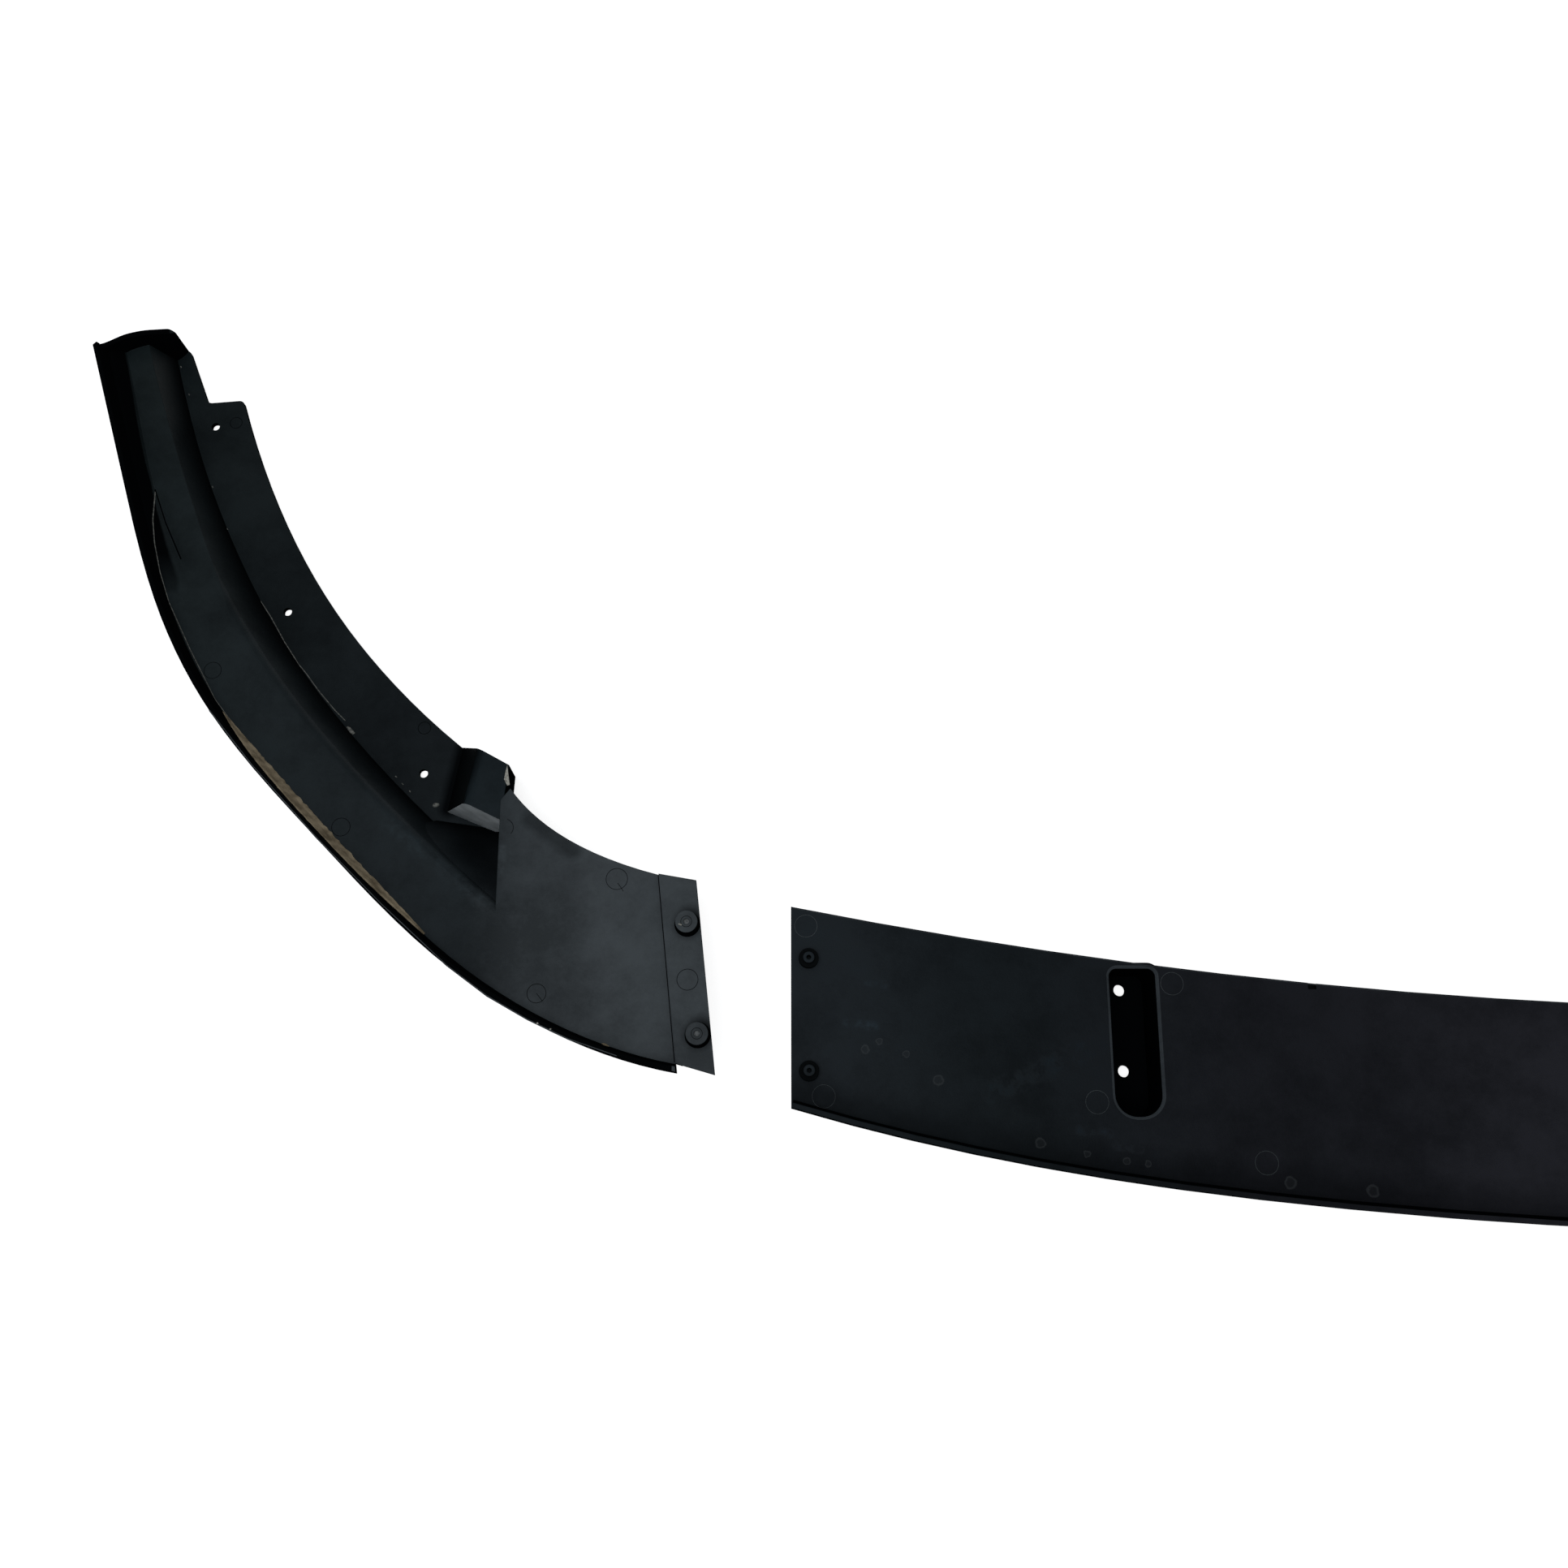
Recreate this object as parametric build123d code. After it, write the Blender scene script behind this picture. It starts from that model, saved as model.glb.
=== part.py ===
# A bumper spoiler in three black moulded sections, laid out on a floor with the hidden side up.
# The middle section stands on its two screw wells and each corner section on its flange.
# X runs across the car, Y to its rear and Z up from the floor. Sizes are in millimetres and degrees.
from build123d import *
import math
import os

os.makedirs("parts", exist_ok=True)

# Walls shared by the three mouldings
wall = 3.0
rim_wall = 2.4
rim_foot = 4.2
rim_height = 10.0
past = 1.0

# Lap joint: stepped pegs on the middle section go into sockets under the corner's tab
lap_length = 18.5
lap_clearance = 0.3
lap_peg_inset = 8.7
lap_first_peg = 26.2
lap_peg_spacing = 55.0
peg_radius = 4.9
peg_height = 3.0
spigot_radius = 2.8
spigot_height = 2.4
pilot_radius = 1.15
socket_top_radius = 5.5
socket_foot_radius = 6.4
socket_height = 8.0
socket_screw_radius = 1.4

# Middle section
middle_length = 1045.0
lap_width = 99.0
rear_sweep = 51.5
front_sweep = 59.0
well_offset = 353.5
well_width = 23.0
well_length = 72.0
well_front_radius = 10.5
well_rear_radius = 4.0
well_mouth_chamfer = 1.4
well_screw_radius = 3.0
well_screw_spacing = 41.0
well_screw_shift = 8.5
notch_offset = 265.0
notch_width = 4.0
notch_depth = 3.0
notch_sink = 2.0

# Corner section
corner_width = 282.0
corner_depth = 424.0
riser_height = 31.0
riser_run = 11.0
fold_radius = 5.0
flange_screw_radius = 2.3
flange_corner_radius = 3.0
tray_depth = 10.0
head_step = 0.8
fan_share = 0.84
head_bend_radius = 8.0
tab_front_slope = 0.41
tab_rear_slope = 0.29

# How the sections lie on the floor
corner_gap = 48.0
corner_shift = 16.2
corner_turn = 6.25

# Screw holes in the flange, as shares of the corner's width outwards and depth rearwards
flange_screws = ((0.816, 0.925), (0.681, 0.648), (0.433, 0.411))


def slab(outline, bottom, top):
    """A flat outline made solid between two heights."""
    return extrude(Pos(0, 0, bottom) * outline, amount=top - bottom)


def post(x, y, radius, bottom, top):
    """A round post or a round cutter between two heights."""
    return Pos(x, y, bottom) * Cylinder(radius, top - bottom, align=(Align.CENTER, Align.CENTER, Align.MIN))


def along(path, section):
    """A section, as inward distance and height, run along a level path with its inside on the left."""
    start = Plane(origin=path @ 0, x_dir=Vector(0, 0, 1).cross(path % 0), z_dir=path % 0)
    return sweep(start * section, path=path)


def rim_section(face):
    """The rim's section, thicker at its foot, for a plate with its visible face at this height."""
    return Polygon(
        (0, face - wall),
        (0, face + rim_height),
        (rim_wall, face + rim_height),
        (rim_foot, face),
        (rim_foot, face - wall),
        align=None,
    )


# Middle section: a bowed plate with a rim along its front edge, as high off the floor as the corners
plate_top = riser_height + wall
half_middle = middle_length / 2
end_front_y = -lap_width
mid_rear_y = -rear_sweep
mid_front_y = end_front_y - front_sweep
rear_edge = ThreePointArc((half_middle, 0), (0, mid_rear_y), (-half_middle, 0))
front_edge = Spline(
    (-half_middle, end_front_y),
    (-0.83 * half_middle, end_front_y - 0.37 * front_sweep),
    (-0.5 * half_middle, end_front_y - 0.79 * front_sweep),
    (0, mid_front_y),
    (0.5 * half_middle, end_front_y - 0.79 * front_sweep),
    (0.83 * half_middle, end_front_y - 0.37 * front_sweep),
    (half_middle, end_front_y),
)
left_end = Line(rear_edge @ 1, front_edge @ 0)
right_end = Line(front_edge @ 1, rear_edge @ 0)
middle = slab(make_face([rear_edge, left_end, front_edge, right_end]), plate_top - wall, plate_top)
middle += along(front_edge, rim_section(plate_top))


def rear_at(x):
    """Where the middle's rear edge lies at this distance from the car's centre."""
    return mid_rear_y + rear_sweep * (x / half_middle) ** 2


def well_outline(grow):
    """The rounded slot of a screw well, grown outwards by a wall."""
    slot = Rectangle(well_width + 2 * grow, well_length + 2 * grow)
    slot = fillet(slot.vertices().group_by(Axis.Y)[-1], well_rear_radius + grow)
    return fillet(slot.vertices().group_by(Axis.Y)[0], well_front_radius + grow)


well_y = rear_at(well_offset) - wall - well_length / 2
for side in (-1, 1):
    # Screw well with two holes in its floor
    well_x = side * well_offset
    middle += Pos(well_x, well_y, 0) * slab(well_outline(wall), 0, plate_top - wall / 2)
    middle -= Pos(well_x, well_y, 0) * slab(well_outline(0), wall, plate_top + past)
    mouth_reach = well_length / 2 + past
    mouth = middle.edges().filter_by_position(Axis.Z, plate_top - past, plate_top + past)
    mouth = mouth.filter_by_position(Axis.X, well_x - well_width, well_x + well_width)
    mouth = mouth.filter_by_position(Axis.Y, well_y - mouth_reach, well_y + mouth_reach)
    middle = chamfer(mouth, well_mouth_chamfer)
    for step in (-0.5, 0.5):
        hole_y = well_y + well_screw_shift + step * well_screw_spacing
        middle -= post(well_x, hole_y, well_screw_radius, -past, wall + past)

    # Two stepped pegs at the lap, each with a pilot hole
    peg_x = side * (half_middle - lap_peg_inset)
    peg_top = plate_top + peg_height
    spigot_top = peg_top + spigot_height
    for peg_y in (-lap_first_peg, -lap_first_peg - lap_peg_spacing):
        middle += post(peg_x, peg_y, peg_radius, plate_top - wall / 2, peg_top)
        middle += post(peg_x, peg_y, spigot_radius, plate_top, spigot_top)
        middle -= post(peg_x, peg_y, pilot_radius, plate_top, spigot_top + past)

    # Shallow notch in the rear edge
    notch = Box(notch_width, 2 * notch_depth, 2 * notch_sink)
    middle -= Pos(side * notch_offset, rear_at(notch_offset), plate_top) * notch


# Left corner section, drawn with its visible face at height 0 and its lap step along Y
def corner_point(across, back):
    """A plan point from its share of the corner's width and depth."""
    return (-corner_width * across, corner_depth * back - lap_width)


# Rim and plate: the rim runs on past the rear end and is trimmed there
outer_edge = Spline(
    corner_point(1.014, 1.050),
    corner_point(1, 1.004),
    corner_point(0.943, 0.817),
    corner_point(0.870, 0.617),
    corner_point(0.782, 0.488),
    corner_point(0.596, 0.316),
    corner_point(0.379, 0.149),
    corner_point(0.164, 0.045),
    corner_point(0, 0),
)
fold_edge = Spline(
    corner_point(0.953, 1.070),
    corner_point(0.938, 1.010),
    corner_point(0.888, 0.856),
    corner_point(0.838, 0.750),
    corner_point(0.716, 0.567),
    corner_point(0.532, 0.385),
    corner_point(0.295, 0.208),
)
plate_rear = Spline(
    (0, 0),
    corner_point(0.115, 0.270),
    corner_point(0.226, 0.332),
    corner_point(0.254, 0.359),
)
free_corner = Line(plate_rear @ 1, corner_point(0.273, 0.346))
gap_edge = Line(free_corner @ 1, fold_edge @ 1)
lap_step = Line(outer_edge @ 1, plate_rear @ 0)
outer_end = Line(fold_edge @ 0, outer_edge @ 0)
plate_outline = make_face([outer_edge, lap_step, plate_rear, free_corner, gap_edge, fold_edge, outer_end])
corner = slab(plate_outline, -wall, 0) + along(outer_edge, rim_section(0))
corner = split(corner, bisect_by=Plane.YZ, keep=Keep.BOTTOM)

# Section of the riser and flange behind the fold, with the fold rounded
flange_top = -riser_height
flange_under = flange_top - wall
flange_reach = corner_width / 4
fold_bend = fold_radius * math.tan(math.atan2(riser_height, riser_run) / 2)
valley = fold_bend + riser_run
wall_slant = wall * fold_bend / fold_radius


def folded(*underside):
    """A section that follows the plate over the fold and down the riser, closed by points below it."""
    section = Polygon((-wall, 0), (fold_bend, 0), (valley, flange_top), *underside, align=None)
    return fillet(section.vertices().sort_by_distance((fold_bend, 0))[0], fold_radius)


riser_section = folded(
    (flange_reach, flange_top),
    (flange_reach, flange_under),
    (valley - wall_slant, flange_under),
    (fold_bend - wall_slant, -wall),
    (-wall, -wall),
)
below_riser = folded((-flange_reach, flange_top), (-flange_reach, 0))

# Outline of the rear end, the flange and the pocket beside the plate's free corner
end_line = Spline(
    corner_point(1.020, 0.994),
    corner_point(1, 1.004),
    corner_point(0.955, 1.026),
    corner_point(0.905, 1.034),
    corner_point(0.868, 1.050),
)
free_edge = Spline(
    corner_point(0.759, 0.960),
    corner_point(0.735, 0.890),
    corner_point(0.611, 0.670),
    corner_point(0.426, 0.489),
    corner_point(0.361, 0.442),
)
strip_and_step = Polyline(end_line @ 1, corner_point(0.830, 0.961), free_edge @ 0)
pocket_side = Polyline(
    free_edge @ 1,
    corner_point(0.268, 0.380),
    corner_point(0.272, 0.302),
    corner_point(0.285, 0.190),
    corner_point(1.020, 0.190),
    end_line @ 0,
)
flange_outline = make_face([end_line, strip_and_step, free_edge, pocket_side])
rounded_corners = [
    flange_outline.vertices().sort_by_distance(point)[0]
    for point in (strip_and_step @ 0, corner_point(0.830, 0.961), strip_and_step @ 1)
]
flange_outline = fillet(rounded_corners, flange_corner_radius)
riser = along(fold_edge, riser_section) & slab(flange_outline, flange_under, 0)

# The plate sinks into a tray towards the rear end
# Each station has its share rearwards, the rim's foot, the tray's edge and the share of the depth
tray_stations = (
    (1.070, 1.004, 0.985, 1.0),
    (0.914, 0.954, 0.937, 1.0),
    (0.815, 0.927, 0.908, 0.9),
    (0.713, 0.894, 0.859, 0.4),
    (0.620, 0.853, 0.800, 0.002),
)
tray_cuts = []
tray_under = []
for back, foot, edge, sunk in tray_stations:
    foot_x, station_y = corner_point(foot, back)
    edge_x = corner_point(edge, back)[0]
    depth = tray_depth * sunk
    far_x = foot_x + flange_reach
    cut = Polygon((foot_x, head_step), (edge_x, -depth), (far_x, -depth), (far_x, head_step), align=None)
    tray_cuts.append(Pos(0, station_y, 0) * (Plane.XZ * cut))
    tray_under.append((station_y, -depth - wall))
tray_profile = Polygon((tray_under[0][0], 0), *tray_under, (tray_under[-1][0], 0), align=None)
beside_rim = make_face([outer_edge, Polyline(outer_edge @ 1, corner_point(0, 1.050), outer_edge @ 0)])
tray_body = extrude(Plane.YZ * tray_profile, amount=corner_width + wall, both=True)
tray_body = tray_body & slab(beside_rim, -tray_depth - wall, 0)
corner += riser + (tray_body & along(fold_edge, below_riser))
corner -= loft(tray_cuts)

# The rear end is trimmed to its line and closed by a wall that falls from the rim to the flange
behind_end = Polyline(
    end_line @ 1,
    corner_point(0.600, 1.050),
    corner_point(0.600, 1.200),
    corner_point(1.100, 1.200),
    corner_point(1.100, 0.994),
    end_line @ 0,
)
corner -= slab(make_face([end_line, behind_end]), flange_under - past, rim_height + past)
inner_line = Pos(0, -wall, 0) * end_line
inner_joins = [Line(end_line @ 1, inner_line @ 1), Line(inner_line @ 0, end_line @ 0)]
end_strip = make_face([end_line, inner_line, *inner_joins])
end_top = Spline(
    (corner_point(1, 0)[0], rim_height),
    (corner_point(0.955, 0)[0], 0.2 * rim_height),
    (corner_point(0.908, 0)[0], 0),
    (corner_point(0.880, 0)[0], 0.2 * flange_top),
    (corner_point(0.862, 0)[0], 0.9 * flange_top),
)
end_sides = Polyline(
    end_top @ 1,
    (corner_point(0.862, 0)[0], flange_under),
    (corner_point(1.1, 0)[0], flange_under),
    (corner_point(1.1, 0)[0], rim_height),
    end_top @ 0,
)
end_wall = extrude(Plane.XZ * make_face([end_top, end_sides]), amount=2 * corner_depth, both=True)
for plan in (end_strip, flange_outline, beside_rim):
    end_wall = end_wall & slab(plan, flange_under, rim_height)
corner += end_wall

# The pocket beside the plate's free corner is closed by a wall under the plate
gap_inner = Pos(wall, 0, 0) * gap_edge
gap_joins = [Line(gap_edge @ 1, gap_inner @ 1), Line(gap_inner @ 0, gap_edge @ 0)]
gap_strip = make_face([gap_edge, gap_inner, *gap_joins])
corner += slab(gap_strip, flange_under, -wall / 2)

# In the pocket the riser fans out to the foot of the head
pocket_low = flange_under - past
fan_start = fold_edge @ fan_share
fan_inward = Vector(0, 0, 1).cross(fold_edge % fan_share)
fan_foot = fan_start + fan_inward * (valley + wall / 2)
head_side = Vector(*corner_point(0.275, 0.324))
sink = Vector(0, 0, flange_top)
deep = Vector(0, 0, pocket_low)
fan_ends = []
for top, foot in ((fan_start, fan_foot), (fold_edge @ 1, head_side)):
    fan_ends.append(make_face(Polyline(top, foot + sink, foot + deep, top + deep, top)))
fan = loft(fan_ends, ruled=True)
below_fan = Pos(0, 0, -wall) * fan
corner += fan
corner -= below_fan

# The head is a hollow hump, open below, one step lower than the plate
head_foot = Polygon(
    corner_point(0.361, 0.442),
    corner_point(0.397, 0.359),
    corner_point(0.284, 0.317),
    corner_point(0.274, 0.346),
    corner_point(0.262, 0.396),
    align=None,
)
head_top = Polygon(
    corner_point(0.307, 0.414),
    corner_point(0.339, 0.348),
    corner_point(0.270, 0.319),
    corner_point(0.268, 0.346),
    corner_point(0.254, 0.389),
    align=None,
)
head = loft([Pos(0, 0, flange_under) * head_foot, Pos(0, 0, -head_step) * head_top], ruled=True)
head = fillet(head.edges().group_by(Axis.Z)[-1].sort_by(Axis.X)[0], head_bend_radius)
room_foot = Pos(0, 0, flange_under - past) * offset(head_foot, -wall, kind=Kind.INTERSECTION)
room_top = Pos(0, 0, -head_step - wall) * offset(head_top, -wall, kind=Kind.INTERSECTION)
corner += head
corner -= loft([room_foot, room_top], ruled=True)

# Lap tab, stepped up by one wall so that the middle section fits below it, with two sockets
tab_bottom = lap_clearance
tab_top = tab_bottom + wall
tab_front = -lap_width + rim_foot + lap_clearance


def tab_outline(length):
    """The tab's plan from the lap step to this distance inwards."""
    front_end = tab_front - length * tab_front_slope
    rear_end = -length * tab_rear_slope
    return Polygon((0, 0), (0, tab_front), (length, front_end), (length, rear_end), align=None)


corner += slab(tab_outline(lap_length), tab_bottom, tab_top) + slab(tab_outline(wall), -wall, tab_top)
socket_x = wall + lap_clearance + lap_peg_inset
socket_top = tab_top + socket_height
socket_roof = peg_height + spigot_height + lap_clearance
first_socket = -lap_first_peg - wall * tab_rear_slope
upwards = (Align.CENTER, Align.CENTER, Align.MIN)
for socket_y in (first_socket, first_socket - lap_peg_spacing):
    socket = Cone(socket_foot_radius, socket_top_radius, socket_height, align=upwards)
    corner += Pos(socket_x, socket_y, tab_top) * socket
    corner -= post(socket_x, socket_y, peg_radius + lap_clearance, -past, socket_roof)
    corner -= post(socket_x, socket_y, socket_screw_radius, 0, socket_top + past)

# Screw holes in the flange
for across, back in flange_screws:
    corner -= post(*corner_point(across, back), flange_screw_radius, flange_under - past, flange_top + past)

# The corner stands on its flange, turned a little and clear of the middle section
corner_place = Pos(-half_middle - lap_length - corner_gap, corner_shift, plate_top)
corner = corner_place * Rot(0, 0, corner_turn) * corner

# The set is centred over the origin, and the right corner mirrors the left
centre_y = Compound([middle, corner]).bounding_box().center().Y
middle = Pos(0, -centre_y, 0) * middle
left_corner = Pos(0, -centre_y, 0) * corner
right_corner = mirror(left_corner, about=Plane.YZ)

export_step(middle, "parts/middle_section.step")
export_step(left_corner, "parts/left_corner_section.step")
export_step(right_corner, "parts/right_corner_section.step")
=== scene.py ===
import math
import random

import bpy
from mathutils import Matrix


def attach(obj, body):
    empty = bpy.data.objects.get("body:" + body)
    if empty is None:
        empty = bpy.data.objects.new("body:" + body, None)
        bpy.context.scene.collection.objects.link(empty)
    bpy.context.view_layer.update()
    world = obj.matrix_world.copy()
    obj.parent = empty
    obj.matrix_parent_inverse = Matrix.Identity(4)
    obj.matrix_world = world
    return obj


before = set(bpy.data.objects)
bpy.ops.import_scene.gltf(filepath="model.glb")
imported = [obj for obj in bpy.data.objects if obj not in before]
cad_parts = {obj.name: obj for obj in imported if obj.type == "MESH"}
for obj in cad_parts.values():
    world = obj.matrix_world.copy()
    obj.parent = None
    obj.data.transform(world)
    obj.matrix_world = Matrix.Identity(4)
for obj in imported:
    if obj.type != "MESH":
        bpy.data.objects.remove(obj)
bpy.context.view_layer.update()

# Left corner section
# One moulding of black polypropylene with a turned-up rim, a riser and a screw flange, lying hidden side up.
# It is shot in a spark-textured mould, so its faces are matt and its edges are softly rounded.
# A thin film of dry dust lies on its level faces; it is palest at the lap, where its paleness is a painted
# sheen.
MM = 0.001
plate_height = 34.0
flange_height = 3.0
photo_width = 1932
photo_focal = 1856
camera_place = (-526.0, -222.44, 779.0)
camera_tilt = math.radians(15)


def spot(across, down, height=plate_height):
    """The place in millimetres at that height which shows at this pixel of the photograph."""
    right = (across - photo_width / 2) / photo_focal
    up = -(down - photo_width / 2) / photo_focal
    reach = (camera_place[2] - height) / (math.cos(camera_tilt) - up * math.sin(camera_tilt))
    forward = (math.sin(camera_tilt) + up * math.cos(camera_tilt)) * reach
    return (camera_place[0] + right * reach, camera_place[1] + forward, height)


def linear(hex_colour):
    """A linear colour with alpha from an sRGB hex value."""
    parts = [int(hex_colour[i:i + 2], 16) / 255 for i in (1, 3, 5)]
    return [p / 12.92 if p <= 0.04045 else ((p + 0.055) / 1.055) ** 2.4 for p in parts] + [1.0]


def add(tree, kind, inputs=None, **settings):
    """Adds one node with its settings, and sets its inputs or joins them to an output.

    A node given as an input stands for its first output."""
    made = tree.nodes.new(kind)
    for name, value in settings.items():
        setattr(made, name, value)
    for socket, value in (inputs or {}).items():
        if isinstance(value, bpy.types.Node):
            value = value.outputs[0]
        if isinstance(value, bpy.types.NodeSocket):
            tree.links.new(value, made.inputs[socket])
        else:
            made.inputs[socket].default_value = value
    return made


# Sockets that share a name with others on their node are reached by number.
mix_number_a = 2
mix_number_b = 3
mix_colour_a = 6
mix_colour_b = 7
mix_colour_out = 2
range_vector_to_min = 9
range_vector_to_max = 10


def near_line(tree, place, start, end, reach, share):
    """The share held near the line between two places, which becomes one at its reach."""
    full_part = 0.3
    run = [(b - a) * MM for a, b in zip(start, end)]
    length = math.dist(start, end) * MM
    per_length = [r / length ** 2 for r in run]
    offset = add(tree, "ShaderNodeVectorMath", {0: place, 1: [c * MM for c in start]}, operation="SUBTRACT")
    along = add(tree, "ShaderNodeVectorMath", {0: offset, 1: per_length}, operation="DOT_PRODUCT")
    along = add(tree, "ShaderNodeMapRange", {"Value": along.outputs["Value"]})
    nearest = add(tree, "ShaderNodeVectorMath", {0: run, "Scale": along}, operation="SCALE")
    away = add(tree, "ShaderNodeVectorMath", {0: offset, 1: nearest}, operation="DISTANCE")
    return add(tree, "ShaderNodeMapRange", {
        "Value": away.outputs["Value"], "From Min": full_part * reach * MM, "From Max": reach * MM,
        "To Min": share, "To Max": 1.0})


def moulded_polypropylene(name, dust_and_sheen_stops, low_height, low_share, bare_rim_from, satin_level=0.06,
                          painted_shades=(), smears_and_highlights=(), stains=()):
    """Black moulded polypropylene, matt and finely grained, under a film of dust and painted sheen.

    The stops give the colour of its film at distances from the car's centre; where the film is pale it is a
    painted sheen. It thins out from the plate down to low_share at low_height, which is painted shade, and is
    left off the rim's top beyond bare_rim_from. The shade lines are painted shade and hold less of the film;
    the smears hold more, in specks, and some are painted highlights. Each line is two ends, a reach and the
    share held.
    stains are pale water rings as a pixel and a radius."""
    material = bpy.data.materials.new(name)
    material.use_nodes = True
    tree = material.node_tree
    shader = tree.nodes["Principled BSDF"]
    shader.inputs["IOR"].default_value = 1.49
    place = add(tree, "ShaderNodeTexCoord").outputs["Object"]
    split = add(tree, "ShaderNodeSeparateXYZ", {0: place})
    # The mould's texture is about 0.3 mm across; it is drawn at 1.1 mm so that it shows.
    grain_size = 1.1
    grain = add(tree, "ShaderNodeTexNoise", {"Vector": place, "Scale": 1 / (grain_size * MM), "Detail": 2.0})
    patch_size = 60.0
    patches = add(tree, "ShaderNodeTexNoise", {
        "Vector": place, "Scale": 1 / (patch_size * MM), "Detail": 8.0, "Roughness": 0.75})
    # The film's colour changes along the car's width; where it is paler it is a painted sheen.
    aside = add(tree, "ShaderNodeMath", {0: split.outputs["X"]}, operation="ABSOLUTE")
    film = add(tree, "ShaderNodeValToRGB", {"Fac": aside})
    film.color_ramp.interpolation = "EASE"
    while len(film.color_ramp.elements) < len(dust_and_sheen_stops):
        film.color_ramp.elements.new(0.5)
    for element, (distance, colour) in zip(film.color_ramp.elements, dust_and_sheen_stops):
        element.position = distance * MM
        element.color = linear(colour)
    # It lies on level faces, less on low ones. On slopes it thins out downwards, and steep faces are bare.
    # Its pale level faces are partly a painted sheen, and its thinning on low faces is painted shade.
    level_from = 0.80
    level_full = 0.97
    slope_from = 0.20
    slope_full = 0.36
    slope_low = 4.0
    slope_high = 32.0
    slope_low_share = 0.02
    slope_high_share = 0.9
    facing = add(tree, "ShaderNodeSeparateXYZ", {0: add(tree, "ShaderNodeNewGeometry").outputs["Normal"]})
    level = add(tree, "ShaderNodeMapRange", {
        "Value": facing.outputs["Z"], "From Min": level_from, "From Max": level_full})
    high = add(tree, "ShaderNodeMapRange", {
        "Value": split.outputs["Z"], "From Min": low_height * MM, "From Max": plate_height * MM,
        "To Min": low_share})
    level = add(tree, "ShaderNodeMath", {0: level, 1: high}, operation="MULTIPLY")
    slope = add(tree, "ShaderNodeMapRange", {
        "Value": facing.outputs["Z"], "From Min": slope_from, "From Max": slope_full})
    rise = add(tree, "ShaderNodeMapRange", {
        "Value": split.outputs["Z"], "From Min": slope_low * MM, "From Max": slope_high * MM,
        "To Min": slope_low_share, "To Max": slope_high_share})
    slope = add(tree, "ShaderNodeMath", {0: slope, 1: rise}, operation="MULTIPLY")
    lying = add(tree, "ShaderNodeMath", {0: level, 1: slope}, operation="MAXIMUM")
    # It is left off the top of the outer rim, which stays black.
    wiped_from = 40.0
    wiped_full = 42.0
    low = add(tree, "ShaderNodeMapRange", {
        "Value": split.outputs["Z"], "From Min": wiped_from * MM, "From Max": wiped_full * MM,
        "To Min": 1.0, "To Max": 0.0})
    inner = add(tree, "ShaderNodeMath", {0: aside, 1: bare_rim_from * MM}, operation="LESS_THAN")
    off_rim = add(tree, "ShaderNodeMath", {0: low, 1: inner}, operation="MAXIMUM")
    # Towards the rear end it stays in the sinking tray and leaves what stands above the tray bare.
    end_from = 70.0
    end_full = 105.0
    tray_end = 150.0
    tray_start_height = 34.8
    tray_end_height = 25.0
    stands_from = 0.6
    stands_full = 1.4
    front = add(tree, "ShaderNodeMapRange", {
        "Value": split.outputs["Y"], "From Min": end_from * MM, "From Max": end_full * MM,
        "To Min": 1.0, "To Max": 0.0})
    sinking = add(tree, "ShaderNodeMapRange", {
        "Value": split.outputs["Y"], "From Min": end_from * MM, "From Max": tray_end * MM,
        "To Min": tray_start_height * MM, "To Max": tray_end_height * MM})
    above = add(tree, "ShaderNodeMath", {0: split.outputs["Z"], 1: sinking}, operation="SUBTRACT")
    sunk = add(tree, "ShaderNodeMapRange", {
        "Value": above, "From Min": stands_from * MM, "From Max": stands_full * MM,
        "To Min": 1.0, "To Max": 0.0})
    off_end = add(tree, "ShaderNodeMath", {0: front, 1: sunk}, operation="MAXIMUM")
    # It is uneven in patches, thinner along lines of painted shade, and thicker in smears and painted
    # highlights that are broken into specks.
    patch_low = 0.36
    patch_high = 0.64
    thin_patch = 0.62
    thick_patch = 1.18
    speck_size = 4.0
    speck_low = 0.42
    speck_high = 0.68
    uneven = add(tree, "ShaderNodeMapRange", {
        "Value": patches.outputs["Fac"], "From Min": patch_low, "From Max": patch_high,
        "To Min": thin_patch, "To Max": thick_patch})
    shares = [off_rim, off_end, uneven]
    for kept, group in (("MINIMUM", painted_shades), ("MAXIMUM", smears_and_highlights)):
        joined = None
        for line in group:
            held = near_line(tree, place, *line)
            if joined:
                held = add(tree, "ShaderNodeMath", {0: joined, 1: held}, operation=kept)
            joined = held
        if joined and kept == "MAXIMUM":
            specks = add(tree, "ShaderNodeTexNoise", {
                "Vector": place, "Scale": 1 / (speck_size * MM), "Detail": 4.0})
            broken = add(tree, "ShaderNodeMapRange", {
                "Value": specks.outputs["Fac"], "From Min": speck_low, "From Max": speck_high})
            joined = add(tree, "ShaderNodeMix", {0: broken, mix_number_a: 1.0, mix_number_b: joined})
        if joined:
            shares.append(joined)
    amount = lying
    for share in shares:
        amount = add(tree, "ShaderNodeMath", {0: amount, 1: share}, operation="MULTIPLY")
    plastic_black = linear("#040506")
    colour = add(tree, "ShaderNodeMix", {
        0: amount, mix_colour_a: plastic_black, mix_colour_b: film.outputs["Color"]},
        data_type="RGBA", clamp_factor=False).outputs[mix_colour_out]
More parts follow.
